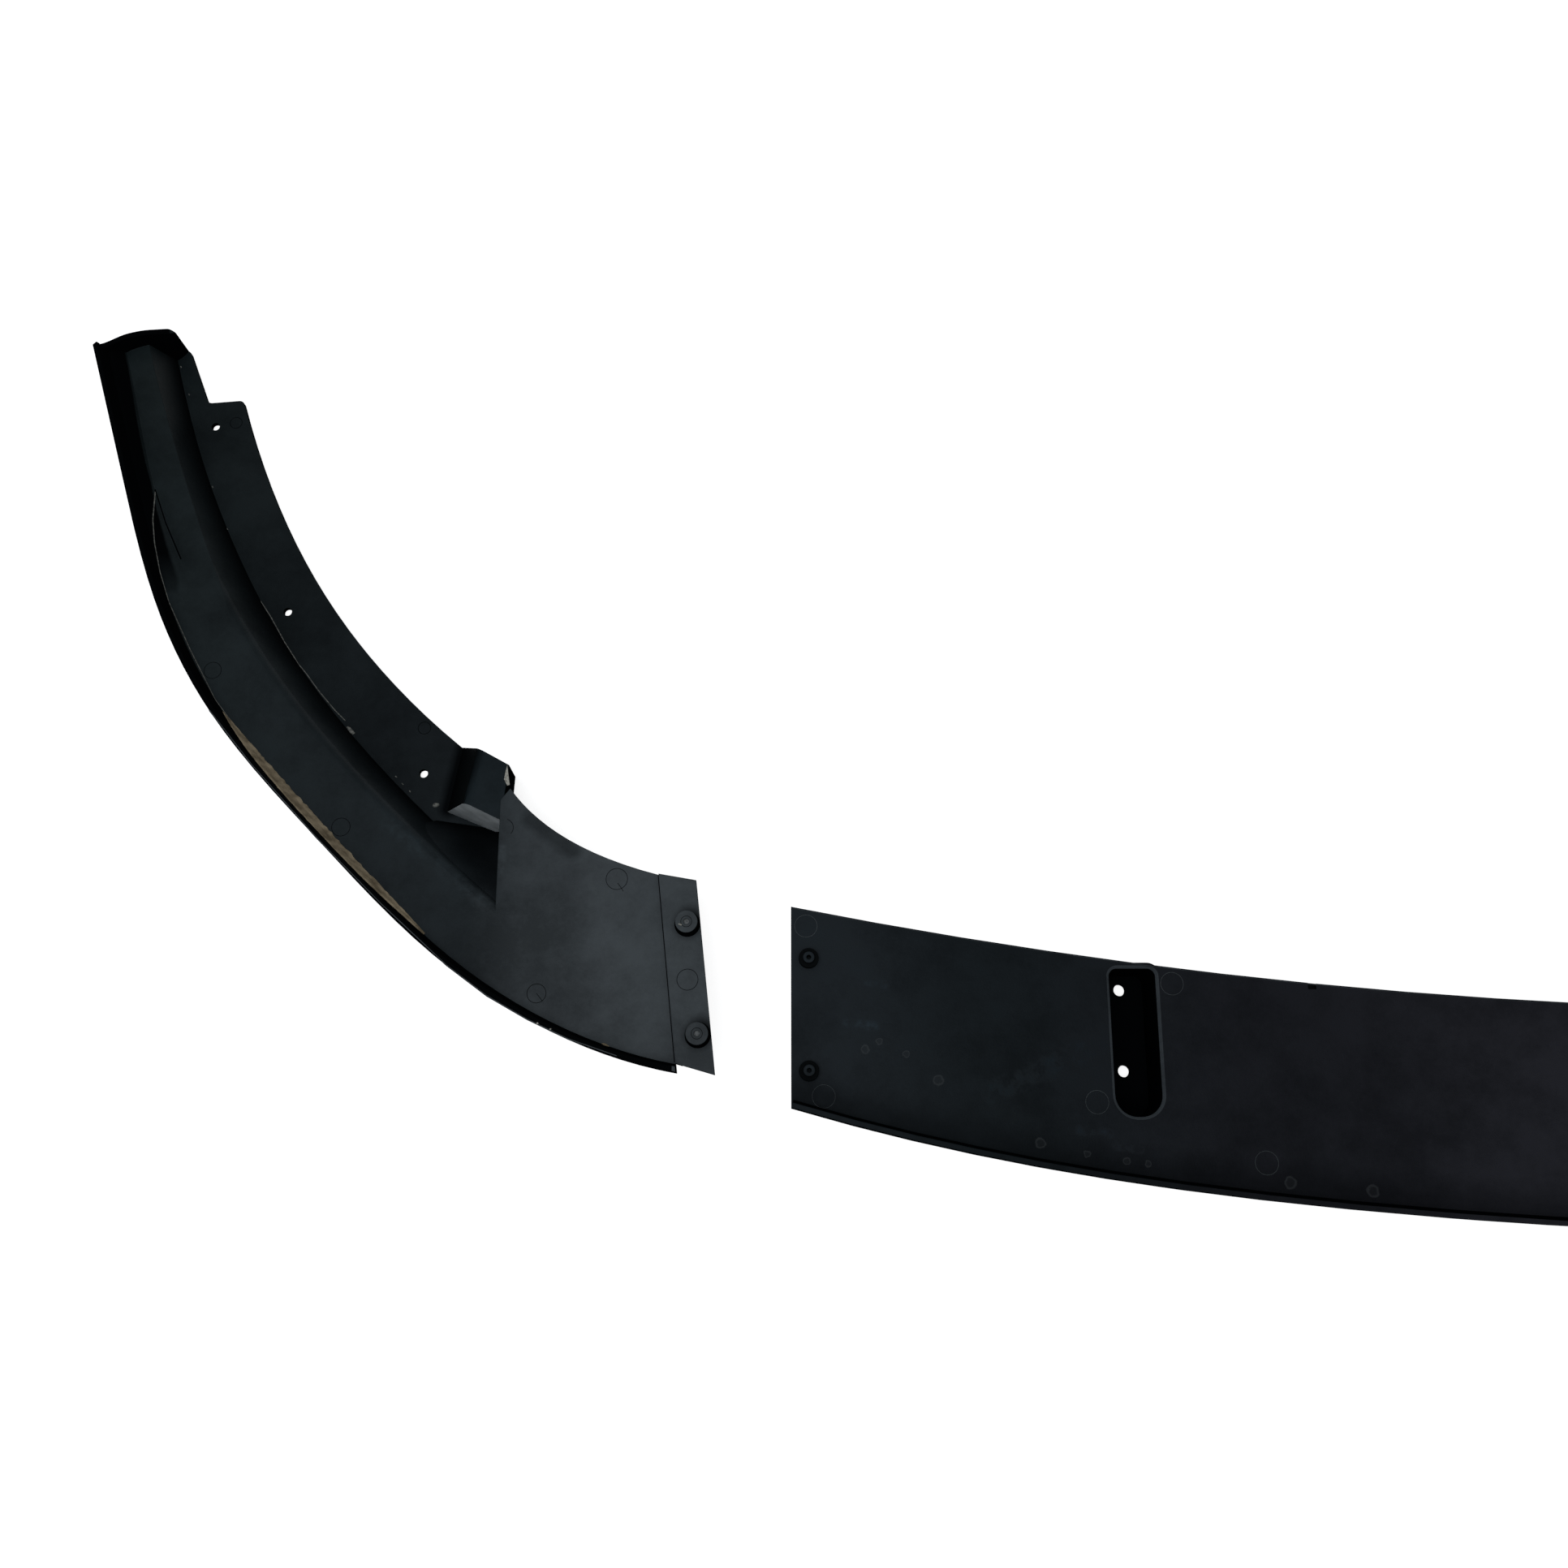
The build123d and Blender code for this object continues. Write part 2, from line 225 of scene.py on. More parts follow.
    # Each stain is a pale outline round a fainter middle, a little out of round.
    wobble_size = 3.0
    wobble_reach = 1.2
    stain_reach = 1.5
    stain_colour = linear("#4a4e50")
    stain_ring = [(0.45, "#3c3c3c"), (0.65, "#787878"), (0.85, "#000000")]
    stain_middle = linear("#3c3c3c")
    stain_outside = linear("#000000")
    if stains:
        wobble = add(tree, "ShaderNodeTexNoise", {"Vector": place, "Scale": 1 / (wobble_size * MM)})
        shift = add(tree, "ShaderNodeMapRange", {
            "Vector": wobble.outputs["Color"], range_vector_to_min: (-wobble_reach * MM,) * 3,
            range_vector_to_max: (wobble_reach * MM,) * 3}, data_type="FLOAT_VECTOR", clamp=False)
        moved = add(tree, "ShaderNodeVectorMath", {0: place, 1: shift.outputs["Vector"]}, operation="ADD")
    for across, down, radius in stains:
        centre = [c * MM for c in spot(across, down)]
        away = add(tree, "ShaderNodeVectorMath", {0: moved, 1: centre}, operation="DISTANCE")
        ring = add(tree, "ShaderNodeMapRange", {
            "Value": away.outputs["Value"], "From Min": 0.0, "From Max": stain_reach * radius * MM})
        mark = add(tree, "ShaderNodeValToRGB", {"Fac": ring})
        mark.color_ramp.elements[0].color = stain_middle
        mark.color_ramp.elements[1].color = stain_outside
        for position, ring_colour in stain_ring:
            mark.color_ramp.elements.new(position).color = linear(ring_colour)
        colour = add(tree, "ShaderNodeMix", {
            0: mark.outputs["Color"], mix_colour_a: colour, mix_colour_b: stain_colour},
            data_type="RGBA").outputs[mix_colour_out]
    tree.links.new(colour, shader.inputs["Base Color"])
    # Its roughness changes with the same patches. The film is satin and the bare texture under it dull.
    rough_from = 0.3
    rough_to = 0.7
    least_rough = 0.46
    most_rough = 0.56
    rough = add(tree, "ShaderNodeMapRange", {
        "Value": patches.outputs["Fac"], "From Min": rough_from, "From Max": rough_to,
        "To Min": least_rough, "To Max": most_rough})
    tree.links.new(rough.outputs[0], shader.inputs["Roughness"])
    satin = add(tree, "ShaderNodeMapRange", {"Value": amount, "To Min": 0.0, "To Max": satin_level})
    tree.links.new(satin.outputs[0], shader.inputs["Specular IOR Level"])
    # The moulding's edges are rounded, and its texture stands up a little.
    edge_radius = 0.8
    grain_depth = 0.3
    soft_edge = add(tree, "ShaderNodeBevel", {"Radius": edge_radius * MM}, samples=6)
    bump = add(tree, "ShaderNodeBump", {
        "Height": grain.outputs["Fac"], "Strength": 0.25, "Distance": grain_depth * MM, "Normal": soft_edge})
    tree.links.new(bump.outputs["Normal"], shader.inputs["Normal"])
    return material


# The film is a pale satin grey at the lap, a painted sheen, and leaves the rest of the plate nearly black.
corner_dust_and_sheen = [(0, "#353a3d"), (615, "#353a3d"), (652, "#2f3437"), (690, "#151b1e"), (1000, "#131b1c")]
corner_rim_from = 580
corner_low_share = 0.66
riser_low = 18
riser_high = 24
fold_height = 33
tab_height = 37.3
socket_feet = [(-574.124, -95.85, tab_height), (-568.137, -150.523, tab_height)]
# Painted shade and shadow: the film is thinner at the head's foot on the flange, in the pocket under the
# fold, along the plate's rear edge, at the tray's crease, and beside the sockets.
corner_painted_shades = [
    (spot(572, 922, flange_height), spot(552, 997, flange_height), 6.5, 0.1),
    (spot(585, 1040, riser_low), spot(600, 1085, riser_high), 15.0, 0.6),
    (spot(654, 1009), spot(706, 1048), 6.5, 0.55),
    (spot(193, 612), spot(214, 668), 5.0, 0.4),
    (socket_feet[0], (-572.0, -93.5, tab_height), 9.0, 0.3),
    (socket_feet[1], (-566.0, -148.2, tab_height), 9.0, 0.3),
]
# The first line is a thicker film at the plate's edge by the pocket; the second is a painted highlight along
# the fold.
corner_smears_and_highlight = [
    (spot(619, 1046), spot(616, 1076), 3.0, 1.6),
    (spot(480, 1014, fold_height), spot(602, 1116, fold_height), 6.0, 1.6),
]
corner_plastic = moulded_polypropylene(
    "black_polypropylene_corner", corner_dust_and_sheen, flange_height, corner_low_share, corner_rim_from,
    painted_shades=corner_painted_shades, smears_and_highlights=corner_smears_and_highlight)
left_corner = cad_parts["left_corner_section"]
left_corner.data.materials.clear()
left_corner.data.materials.append(corner_plastic)


def repaint(node, material, chosen):
    """Gives a node's chosen faces another material, by their centre in millimetres and their normal."""
    node.data.materials.append(material)
    index = len(node.data.materials) - 1
    for face in node.data.polygons:
        if chosen([c / MM for c in face.center], face.normal):
            face.material_index = index


# Head of the left corner
# The hollow hump beside the plate, part of the same moulding. Its outer face is bare, its top is
# dull, and the wall towards the front carries a painted reflection in pale grey.
head_from = (-712, -42, 3.1)
head_to = (-655, 20, 33.6)
# Plastic with next to no dust is deep black and hardly shines.
bare_film = [(0, "#080a0b"), (1000, "#080a0b")]
bare_plastic = moulded_polypropylene(
    "bare_black_polypropylene", bare_film, flange_height, 1.0, corner_rim_from, satin_level=0.005)
# The top is a dull blue-black, darkened at its foot by painted shade.
head_film = [(0, "#0e161a"), (1000, "#0e161a")]
head_foot = 32
head_painted_shade = [(spot(581, 926, head_foot), spot(556, 986, head_foot), 8.0, 0.1)]
head_plastic = moulded_polypropylene(
    "dull_black_polypropylene", head_film, flange_height, 1.0, corner_rim_from, painted_shades=head_painted_shade)
# Painted reflection: the front wall is painted pale grey in uneven streaks, as a smooth face that reflects
# the light.
reflection_streak_size = 9.0
reflection_dark = linear("#7a8083")
reflection_pale = linear("#a2a8ab")
painted_reflection_plastic = bpy.data.materials.new("painted_reflection_polypropylene")
painted_reflection_plastic.use_nodes = True
tree = painted_reflection_plastic.node_tree
reflection_shader = tree.nodes["Principled BSDF"]
reflection_shader.inputs["Roughness"].default_value = 0.35
reflection_shader.inputs["Specular IOR Level"].default_value = 0.2
reflection_place = add(tree, "ShaderNodeTexCoord").outputs["Object"]
reflection_streaks = add(tree, "ShaderNodeTexNoise", {
    "Vector": reflection_place, "Scale": 1 / (reflection_streak_size * MM), "Detail": 4.0})
reflection_ramp = add(tree, "ShaderNodeValToRGB", {"Fac": reflection_streaks.outputs["Fac"]})
reflection_ramp.color_ramp.elements[0].position = 0.3
reflection_ramp.color_ramp.elements[0].color = reflection_dark
reflection_ramp.color_ramp.elements[1].position = 0.7
reflection_ramp.color_ramp.elements[1].color = reflection_pale
tree.links.new(reflection_ramp.outputs["Color"], reflection_shader.inputs["Base Color"])


def paint_head(node, side):
    """Paints a corner's head; side is -1 for the left corner and 1 for the right."""
    top_from = 0.7
    outer_from = 0.4
    wall_upright = 0.5
    wall_from = 0.7

    def on_head(centre):
        left_centre = (-side * centre[0], centre[1], centre[2])
        return all(low < c < high for low, c, high in zip(head_from, left_centre, head_to))

    def on_top(centre, normal):
        return on_head(centre) and normal.z > top_from

    def on_outer_face(centre, normal):
        return on_head(centre) and normal.z <= top_from and side * normal.x > outer_from

    def on_front_wall(centre, normal):
        return on_head(centre) and abs(normal.z) < wall_upright and normal.y < -wall_from

    repaint(node, head_plastic, on_top)
    repaint(node, bare_plastic, on_outer_face)
    # The front wall gets the painted reflection.
    repaint(node, painted_reflection_plastic, on_front_wall)


paint_head(left_corner, -1)

# Ejector marks of the left corner
# Round witness lines left by the pins that push the moulding out of its mould, part of the same plastic.
# Each is a low ridge in a ring; two of them have a short scratch inside.
mark_width = 0.55
mark_rise = 0.16
mark_steps = 48


def ridge(points, width, rise, closed=False):
    """Vertices and faces of a low ridge along level points."""
    vertices = []
    faces = []
    count = len(points)
    for i, (x, y, z) in enumerate(points):
        before = points[i - 1] if closed or i else points[i]
        after = points[(i + 1) % count] if closed or i < count - 1 else points[i]
        run_x = after[0] - before[0]
        run_y = after[1] - before[1]
        length = math.hypot(run_x, run_y)
        side_x = -run_y / length * width / 2
        side_y = run_x / length * width / 2
        vertices.append((x + side_x, y + side_y, z - rise))
        vertices.append((x, y, z + rise))
        vertices.append((x - side_x, y - side_y, z - rise))
    for i in range(count if closed else count - 1):
        a = 3 * i
        b = 3 * ((i + 1) % count)
        faces += [(a, a + 1, b + 1, b), (a + 1, a + 2, b + 2, b + 1), (a + 2, a, b, b + 2)]
    if not closed:
        faces += [(2, 1, 0), (3 * count - 3, 3 * count - 2, 3 * count - 1)]
    return vertices, faces


def circle(centre, radius, start=0.0, turn=360.0, steps=mark_steps):
    """Points round a level circle, or round a part of it, in millimetres."""
    angles = [math.radians(start + turn * i / steps) for i in range(steps + (turn < 360))]
    return [(centre[0] + radius * math.cos(a), centre[1] + radius * math.sin(a), centre[2]) for a in angles]


def piece(name, shapes, material, mirrored=False):
    """One mesh object from several shapes in millimetres, riding on the part."""
    vertices = []
    faces = []
    for shape_vertices, shape_faces in shapes:
        first = len(vertices)
        vertices += [((-x if mirrored else x) * MM, y * MM, z * MM) for x, y, z in shape_vertices]
        faces += [[first + i for i in face] for face in shape_faces]
    mesh = bpy.data.meshes.new(name)
    mesh.from_pydata(vertices, [], faces)
    mesh.materials.append(material)
    made = bpy.data.objects.new(name, mesh)
    bpy.context.scene.collection.objects.link(made)
    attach(made, "root")


corner_mark_spots = [
    (spot(661, 1224), 4.7),
    (spot(760, 1083), 5.4),
    (spot(420, 1019), 4.7),
    (spot(262, 826), 4.5),
    (spot(847, 1207, tab_height), 5.2),
    (spot(523, 897, flange_height), 3.4),
    (spot(291, 521, flange_height), 3.4),
]
scratches = [
    [spot(661, 1224), spot(668, 1233)],
    [spot(761, 1088), spot(764, 1092), spot(768, 1098)],
]
part_mark = circle(spot(621, 1020), radius=4.7, start=-40, turn=110)
corner_marks = []
for centre, radius in corner_mark_spots:
    corner_marks.append(ridge(circle(centre, radius), mark_width, mark_rise, closed=True))
for line in scratches + [part_mark]:
    corner_marks.append(ridge(line, mark_width, mark_rise))
piece("left_corner_ejector_marks", corner_marks, bare_plastic)

# Lines of the left corner
# The foot of the lap step and the crease at the start of the tray are painted shade, drawn as dark lines, and
# the rim's outer edge carries a pale painted highlight. All are the moulding's own plastic.
shade_lines = [
    ridge([spot(811, 1079), spot(831, 1309)], width=0.9, rise=0.06),
    ridge([spot(191, 603), spot(204, 644), spot(223, 689)], width=0.7, rise=0.06),
]
piece("left_corner_shade_lines", shade_lines, bare_plastic)
rim_height = 44.0
rim_highlight_line = [(258, 875), (310, 942), (390, 1032), (470, 1114), (550, 1189), (600, 1227), (650, 1256),
             (700, 1280), (760, 1301)]
rim_highlight_edge = [spot(across, down, rim_height) for across, down in rim_highlight_line]
# A pale grey, painted as a highlight on edges and ridges.
pale_highlight_stops = [(0, "#43484b"), (1000, "#43484b")]
no_bare_rim = 10000
pale_highlight_plastic = moulded_polypropylene("painted_highlight_polypropylene", pale_highlight_stops, flange_height, 1.0, no_bare_rim)
piece("left_corner_rim_highlight", [ridge(rim_highlight_edge, width=0.9, rise=0.1)], pale_highlight_plastic)

# Dried mud in the rim
# Road mud that dried in the inner corner of the left rim, with one crumb further along it.
# It is widest where the rim bends and thins out at both ends.
rim_line = [(258, 876), (284, 911), (310, 943), (350, 989), (390, 1033), (430, 1075), (470, 1115),
            (510, 1154)]
rim_edge = [spot(across, down, rim_height) for across, down in rim_line]
rim_foot = 4.2
rim_wall = 2.4
rim_rise = 10.0
end_spread = 0.3
most_spread = 2.6
least_spread_share = 0.7
end_climb = 0.6
most_climb = 8.4
least_climb_share = 0.9
mud_taper = 0.8
sunk_inset = 1.0
sunk_depth = 0.4
toe_depth = 0.1
slump_out = 0.35
slump_up = 0.30
lip_width = 0.3
lip_inset = 0.5
mud_random = random.Random(4)
mud_steps = 90
mud_vertices = []
mud_faces = []
for i in range(mud_steps + 1):
    share = i / mud_steps * (len(rim_edge) - 1)
    k = min(int(share), len(rim_edge) - 2)
    (x0, y0, _), (x1, y1, _) = rim_edge[k], rim_edge[k + 1]
    run = math.hypot(x1 - x0, y1 - y0)
    in_x = -(y1 - y0) / run
    in_y = (x1 - x0) / run
    x = x0 + (x1 - x0) * (share - k)
    y = y0 + (y1 - y0) * (share - k)
    swell = math.sin(math.pi * i / mud_steps) ** mud_taper
    spread = end_spread + most_spread * swell * mud_random.uniform(least_spread_share, 1.0)
    climb = end_climb + most_climb * swell * mud_random.uniform(least_climb_share, 1.0)
    lean = (rim_foot - rim_wall) * climb / rim_rise
    # The first and last corners are sunk into the plate and the rim.
    section = [
        (rim_foot - sunk_inset, plate_height - sunk_depth),
        (rim_foot + spread, plate_height - toe_depth),
        (rim_foot + slump_out * spread, plate_height + slump_up * climb),
        (rim_foot - lean + lip_width, plate_height + climb),
        (rim_foot - lean - lip_inset, plate_height + climb),
    ]
    mud_vertices += [(x + in_x * inward, y + in_y * inward, height) for inward, height in section]
corners = len(section)
for i in range(mud_steps):
    for j in range(corners):
        a = corners * i + j
        b = corners * i + (j + 1) % corners
        mud_faces.append((a, b, b + corners, a + corners))
mud_faces.append(tuple(reversed(range(corners))))
mud_faces.append(tuple(corners * mud_steps + j for j in range(corners)))


def crumb(centre, length, width, height, turn, seed):
    """A low lump, out of round, in millimetres and degrees."""
    around = 9
    shoulder = (0.6, 0.7)
    sunk_foot = (1.0, -0.2)
    least_size = 0.7
    pick = random.Random(seed)
    cosine = math.cos(math.radians(turn))
    sine = math.sin(math.radians(turn))
    vertices = [(centre[0], centre[1], centre[2] + height)]
    for ring, lift in (shoulder, sunk_foot):
        for i in range(around):
            angle = 2 * math.pi * i / around
            size = ring * pick.uniform(least_size, 1.0)
            along = size * length / 2 * math.cos(angle)
            across = size * width / 2 * math.sin(angle)
            x = centre[0] + along * cosine - across * sine
            y = centre[1] + along * sine + across * cosine
            vertices.append((x, y, centre[2] + lift * height))
    faces = [(0, 1 + i, 1 + (i + 1) % around) for i in range(around)]
    for i in range(around):
        after = (i + 1) % around
        faces.append((1 + i, 1 + around + i, 1 + around + after, 1 + after))
    faces.append(tuple(2 * around - i for i in range(around)))
    return vertices, faces


def chalky(name, dark, pale, lump_size):
    """A dull and chalky surface mottled between two colours, such as dry dirt or stretched plastic."""
    relief = 0.4
    material = bpy.data.materials.new(name)
    material.use_nodes = True
    tree = material.node_tree
    shader = tree.nodes["Principled BSDF"]
    shader.inputs["Roughness"].default_value = 0.95
    shader.inputs["Specular IOR Level"].default_value = 0.1
    place = add(tree, "ShaderNodeTexCoord").outputs["Object"]
    mottle = add(tree, "ShaderNodeTexNoise", {"Vector": place, "Scale": 1 / (lump_size * MM), "Detail": 5.0})
    shade = add(tree, "ShaderNodeValToRGB", {"Fac": mottle.outputs["Fac"]})
    shade.color_ramp.elements[0].position = 0.35
    shade.color_ramp.elements[0].color = linear(dark)
    shade.color_ramp.elements[1].position = 0.65
    shade.color_ramp.elements[1].color = linear(pale)
    tree.links.new(shade.outputs["Color"], shader.inputs["Base Color"])
    bump = add(tree, "ShaderNodeBump", {
        "Height": mottle.outputs["Fac"], "Strength": 0.3, "Distance": relief * MM})
    tree.links.new(bump.outputs["Normal"], shader.inputs["Normal"])
    return material


# Dry mud is a dull warm brown in lumps of a few millimetres.
dried_mud = chalky("dried_mud", "#5b5242", "#857a66", lump_size=6.0)
crumb_height = plate_height + 1.0
rim_crumb = crumb(spot(746, 1288, crumb_height), length=5.0, width=2.2, height=0.8, turn=-20, seed=7)
piece("dried_mud_in_rim", [(mud_vertices, mud_faces), rim_crumb], dried_mud)

# Dust in the valley
# Pale grit that has washed into the crease between riser and flange and dried there in a broken line.
# It ends in a small heap at the foot of the head. A thinner line of it lies along the rear rim.
grit_line = [(318, 742), (330, 760), (340, 778), (348, 793), (357, 807), (365, 820), (375, 832), (390, 853),
             (410, 877), (423, 890)]
grit_right = 2.5
grit_up = 2
grit_points = [spot(across + grit_right, down - grit_up, flange_height) for across, down in grit_line]
rear_rim_line = [(191, 606), (188, 640), (190, 668), (197, 705), (208, 742), (234, 800), (265, 862),
                 (288, 893)]
rear_rim_height = plate_height + 0.2
rear_rim_points = [spot(across, down, rear_rim_height) for across, down in rear_rim_line]
grit = [ridge(grit_points, width=1.0, rise=0.25), ridge(rear_rim_points, width=0.6, rise=0.3)]
grit.append(crumb(spot(432, 900, flange_height), length=8.0, width=2.6, height=0.4, turn=-45, seed=3))
grit.append(crumb(spot(537, 992, flange_height), length=4.5, width=3.5, height=0.6, turn=0, seed=5))
speck_spots = [(223, 452), (233, 486), (262, 600), (280, 652), (488, 957), (496, 966), (505, 975)]
for seed, (across, down) in enumerate(speck_spots):
    speck_place = spot(across, down, flange_height)
    grit.append(crumb(speck_place, length=1.8, width=0.9, height=0.3, turn=-50, seed=seed))
# Dry dust is a dull grey with a fine mottle.
road_dust = chalky("road_dust", "#3c3d3b", "#6a6b67", lump_size=1.5)
piece("dust_in_valley", grit, road_dust)

# Torn edge and chips
# The head's outer edge has torn, so that the paler stretched plastic shows, and two chips are out of the rim.
# All are the moulding's own plastic.
torn_low = 33.2
torn_high = 33.6
torn_line = [(625, 943), (628, 967), (625, 968), (621, 960), (623, 950)]
torn_points = [spot(across, down, torn_low) for across, down in torn_line]
torn_points += [spot(across, down, torn_high) for across, down in torn_line]
corners = len(torn_line)
torn_faces = [tuple(reversed(range(corners))), tuple(range(corners, 2 * corners))]
for i in range(corners):
    after = (i + 1) % corners
    torn_faces.append((i, after, corners + after, corners + i))
chips = [(torn_points, torn_faces)]
chips.append(crumb(spot(662, 1261, rim_height), length=1.6, width=1.2, height=0.2, turn=30, seed=1))
chips.append(crumb(spot(678, 1268, rim_height), length=1.3, width=1.0, height=0.2, turn=10, seed=2))
# Black plastic goes pale and chalky where it is stretched.
stressed_plastic = chalky("stressed_polypropylene", "#66655f", "#96958e", lump_size=1.0)
piece("torn_edge_and_chips", chips, stressed_plastic)

# Skin in the sockets
# A thin skin of plastic was left when the sockets were moulded; it closes their screw holes inside a round
# groove. The top of the rear one is chipped.
socket_top = 45.3
socket_hole_radius = 1.4
skin_depth = 1.0
skin_thickness = 0.4
skin_spots = [(x, y, socket_top - skin_depth) for x, y, _ in socket_feet]


def disc(centre, radius, thickness, steps=24):
    """A flat round disc below its centre."""
    top = circle(centre, radius, steps=steps)
    vertices = top + [(x, y, z - thickness) for x, y, z in top]
    faces = [tuple(range(steps)), tuple(range(2 * steps - 1, steps - 1, -1))]
    faces += [(steps + i, steps + (i + 1) % steps, (i + 1) % steps, i) for i in range(steps)]
    return vertices, faces


skins = [disc(centre, socket_hole_radius, skin_thickness) for centre in skin_spots]
# Its grey is painted light shining through so thin a skin; it is dull.
lit_skin_plastic = chalky("thin_skin_painted_light", "#454849", "#626566", lump_size=1.0)
piece("left_socket_skins", skins, lit_skin_plastic)
groove_radius = 2.7
grooves = []
for x, y, _ in socket_feet:
    grooves.append(ridge(circle((x, y, socket_top), groove_radius), width=0.5, rise=0.05, closed=True))
piece("left_socket_grooves", grooves, bare_plastic)
socket_chip = crumb(spot(838, 1139, socket_top), length=2.6, width=1.0, height=0.2, turn=-15, seed=3)
piece("socket_chip", [socket_chip], stressed_plastic)

# Middle section
# The bowed middle moulding of the same plastic, with its rim to the front and two screw wells sunk to the
# floor. It has lain in the wet: pale rings are left along the rim.
middle_dust_and_sheen = [(0, "#18191e"), (150, "#18191e"), (285, "#0c0e13"), (430, "#050c10"), (500, "#10161a")]
# Painted shade: the film is thinner along the foot of the front rim.
front_line = [(978, 1358), (1180, 1411), (1370, 1449), (1560, 1471), (1750, 1488), (1932, 1502)]
front_reach = 18.0
front_share = 0.6
middle_painted_shades = []
for start, end in zip(front_line, front_line[1:]):
    middle_painted_shades.append((spot(*start), spot(*end), front_reach, front_share))
middle_smears = [
    (spot(1043, 1261), spot(1078, 1264), 3.0, 2.6),
    (spot(1068, 1210), spot(1090, 1213), 2.6, 2.0),
    (spot(1225, 1345), spot(1330, 1298), 7.0, 2.0),
    (spot(1331, 1392), spot(1366, 1397), 3.0, 2.4),
    (spot(1375, 1412), spot(1405, 1417), 2.6, 2.2),
]
middle_stains = [
    (1083, 1283, 1.6), (1066, 1293, 1.8), (1116, 1299, 1.5), (1156, 1331, 2.2), (1282, 1409, 2.2),
    (1339, 1422, 1.5), (1388, 1431, 1.6), (1415, 1434, 1.5), (1590, 1457, 2.6), (1692, 1468, 2.6),
]
middle_low = 31.5
# The film here is thin, so the plastic stays near black; its paler stretches towards the car's centre and at
# the outer ends are a painted sheen.
middle_plastic = moulded_polypropylene(
    "black_polypropylene_middle", middle_dust_and_sheen, middle_low, 0.0, no_bare_rim, painted_shades=middle_painted_shades,
    smears_and_highlights=middle_smears, stains=middle_stains)
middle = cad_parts["middle_section"]
middle.data.materials.clear()
middle.data.materials.append(middle_plastic)
peg_step_height = 37.0
notch_floor = 32.0
height_slack = 0.2
level_face = 0.9
mouth_low = 32.7
mouth_high = 33.9
mouth_steep = 0.5


def on_peg_step(centre, normal):
    """Whether a face is the step of a peg."""
    return abs(centre[2] - peg_step_height) < height_slack and normal.z > level_face


def on_notch_floor(centre, normal):
    """Whether a face is the floor of a notch in the rear edge."""
    return abs(centre[2] - notch_floor) < height_slack


def on_well_mouth(centre, normal):
    """Whether a face is the sloping edge round a screw well."""
    return mouth_low < centre[2] < mouth_high and mouth_steep < normal.z < level_face


repaint(middle, bare_plastic, on_peg_step)
# The notch floor is left bare black as painted shade in the recess.
repaint(middle, bare_plastic, on_notch_floor)
# Painted highlight: the wells' edges are painted as a grey line where they catch the light.
edge_highlight_stops = [(0, "#33383c"), (1000, "#33383c")]
edge_highlight_plastic = moulded_polypropylene("painted_highlight_edge", edge_highlight_stops, middle_low, 0.6, no_bare_rim)
repaint(middle, edge_highlight_plastic, on_well_mouth)

# Ejector marks of the middle section
# The same low rings as on the corner, left by the mould's pins on both halves.
# They are part of the moulding, painted pale as a highlight on their ridges.
middle_mark_spots = [spot(1561, 1433), spot(1352, 1358), spot(1444, 1212), spot(1015, 1351), spot(993, 1141)]
middle_mark_radius = 5.6
middle_marks = []
for centre in middle_mark_spots:
    middle_marks.append(ridge(circle(centre, middle_mark_radius), mark_width, mark_rise, closed=True))
piece("middle_left_ejector_marks", middle_marks, pale_highlight_plastic)
piece("middle_right_ejector_marks", middle_marks, pale_highlight_plastic, mirrored=True)

# Rear edge of the middle section
# The corner between its plate and its rear face, part of the moulding.
# It carries a pale painted highlight along the whole bow.
half_middle = 522.5
end_y = -86.447
sweep = 51.5
bow_radius = (half_middle ** 2 + sweep ** 2) / (2 * sweep)
bow_steps = 60
highlight_share = 0.998
edge_inset = 0.5
rear_line = []
for i in range(bow_steps + 1):
    x = half_middle * highlight_share * (2 * i / bow_steps - 1)
    y = end_y - sweep + bow_radius - math.sqrt(bow_radius ** 2 - x ** 2)
    rear_line.append((x, y - edge_inset, plate_height))
piece("middle_rear_edge", [ridge(rear_line, width=0.8, rise=0.06)], edge_highlight_plastic)

# Right corner section
# The mirrored corner moulding for the other side of the car, of the same plastic and finish.
# It has no mud, grit, smears or chips.
clean_plastic = moulded_polypropylene(
    "clean_black_polypropylene", corner_dust_and_sheen, flange_height, corner_low_share, corner_rim_from)
right_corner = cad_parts["right_corner_section"]
right_corner.data.materials.clear()
right_corner.data.materials.append(clean_plastic)
paint_head(right_corner, 1)
piece("right_corner_ejector_marks", corner_marks, bare_plastic, mirrored=True)
piece("right_corner_shade_lines", shade_lines, bare_plastic, mirrored=True)
piece("right_socket_skins", skins, lit_skin_plastic, mirrored=True)
piece("right_socket_grooves", grooves, bare_plastic, mirrored=True)

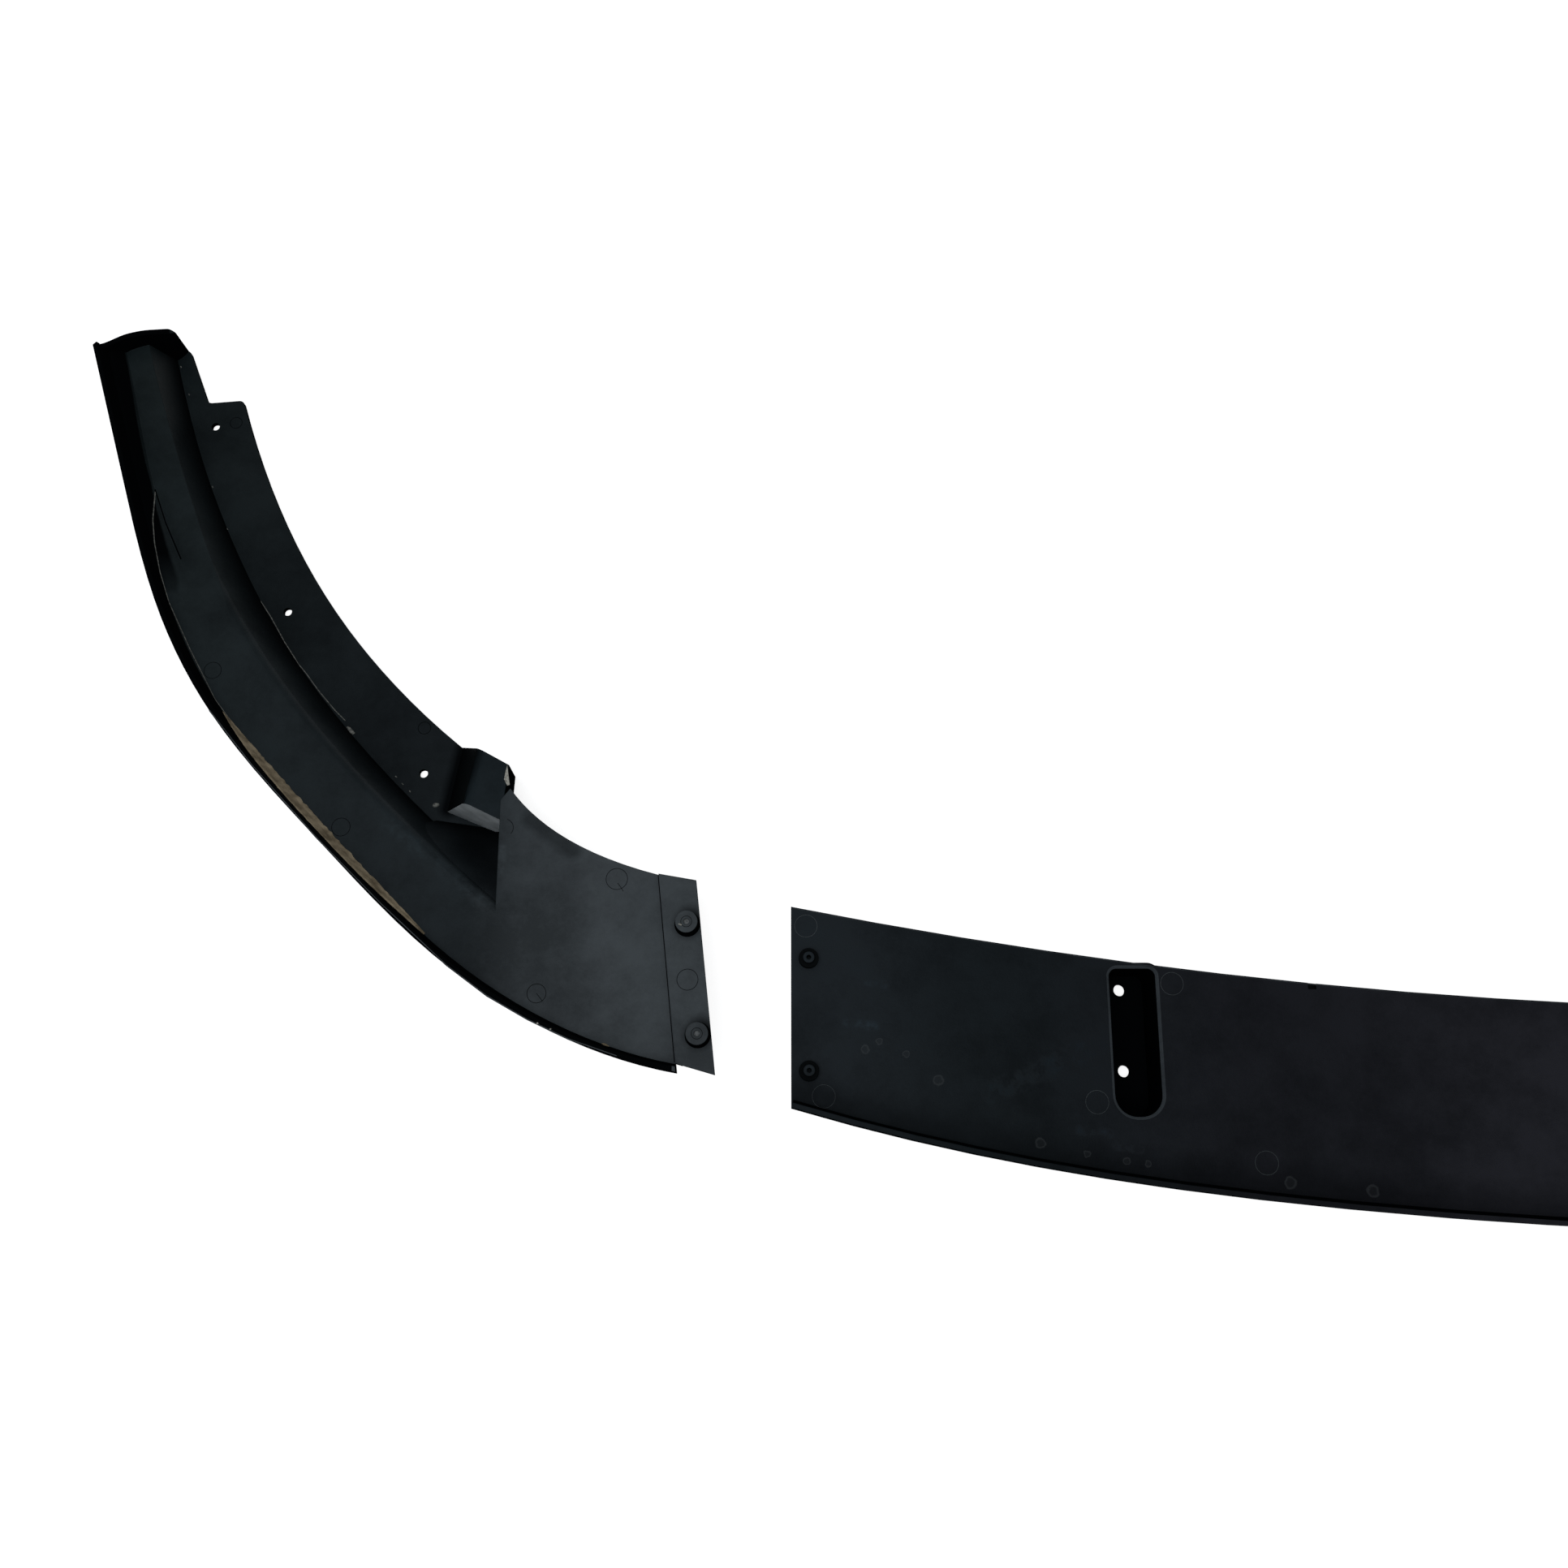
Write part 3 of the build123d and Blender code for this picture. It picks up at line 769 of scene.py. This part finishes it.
# Floor
# A plain white table top under the parts, painted matt.
# It shows white to the camera and still takes the shadows.
floor_size = 8.0
floor_drop = 0.5
floor_glow = 0.78
bpy.ops.mesh.primitive_plane_add(size=floor_size, location=(0, 0, -floor_drop * MM))
floor = bpy.context.object
floor.name = "floor"
table_white = bpy.data.materials.new("matt_white_table")
table_white.use_nodes = True
tree = table_white.node_tree
paint = tree.nodes["Principled BSDF"]
paint.inputs["Base Color"].default_value = linear("#b4b4b4")
paint.inputs["Roughness"].default_value = 0.9
paint.inputs["Emission Color"].default_value = linear("#ffffff")


def seen(tree):
    """One for what is seen straight, reflected or through glass, and nought for light on other surfaces."""
    path = add(tree, "ShaderNodeLightPath")
    straight = path.outputs["Is Camera Ray"]
    reflected = path.outputs["Is Glossy Ray"]
    through = path.outputs["Is Transmission Ray"]
    either = add(tree, "ShaderNodeMath", {0: straight, 1: reflected}, operation="MAXIMUM")
    return add(tree, "ShaderNodeMath", {0: either, 1: through}, operation="MAXIMUM")


glow = add(tree, "ShaderNodeMath", {0: seen(tree), 1: floor_glow}, operation="MULTIPLY")
tree.links.new(glow.outputs[0], paint.inputs["Emission Strength"])
floor.data.materials.append(table_white)

# Light
# One wide soft box overhead in a bright even room, which the camera sees as white.
# The box is a little bluish, like daylight, and the shadows are soft.
room_level = 0.46
world = bpy.data.worlds.new("studio")
bpy.context.scene.world = world
world.use_nodes = True
tree = world.node_tree
room = tree.nodes["Background"]
room.inputs["Color"].default_value = linear("#ffffff")
strength = add(tree, "ShaderNodeMapRange", {"Value": seen(tree), "To Min": room_level, "To Max": 1.0})
tree.links.new(strength.outputs[0], room.inputs["Strength"])
box_lamp = bpy.data.lights.new("overhead_soft_box", "AREA")
box_lamp.size = 1.6
box_lamp.energy = 30
box_lamp.color = linear("#f6faff")[:3]
soft_box = bpy.data.objects.new("overhead_soft_box", box_lamp)
bpy.context.scene.collection.objects.link(soft_box)
soft_box.location = (-0.9, -0.5, 2.4)
soft_box.rotation_euler = (math.radians(-10), math.radians(-8), 0)

# Camera
# It looks down at the left half of the spoiler, as in the photograph.
# Its place and tilt are the ones that spot reckons with.
camera = bpy.data.cameras.new("camera")
camera.sensor_width = 36.0
camera.lens = camera.sensor_width * photo_focal / photo_width
held_camera = bpy.data.objects.new("camera", camera)
bpy.context.scene.collection.objects.link(held_camera)
held_camera.location = [c * MM for c in camera_place]
held_camera.rotation_euler = (camera_tilt, 0, 0)
bpy.context.scene.camera = held_camera
bpy.context.scene.view_settings.view_transform = "Standard"
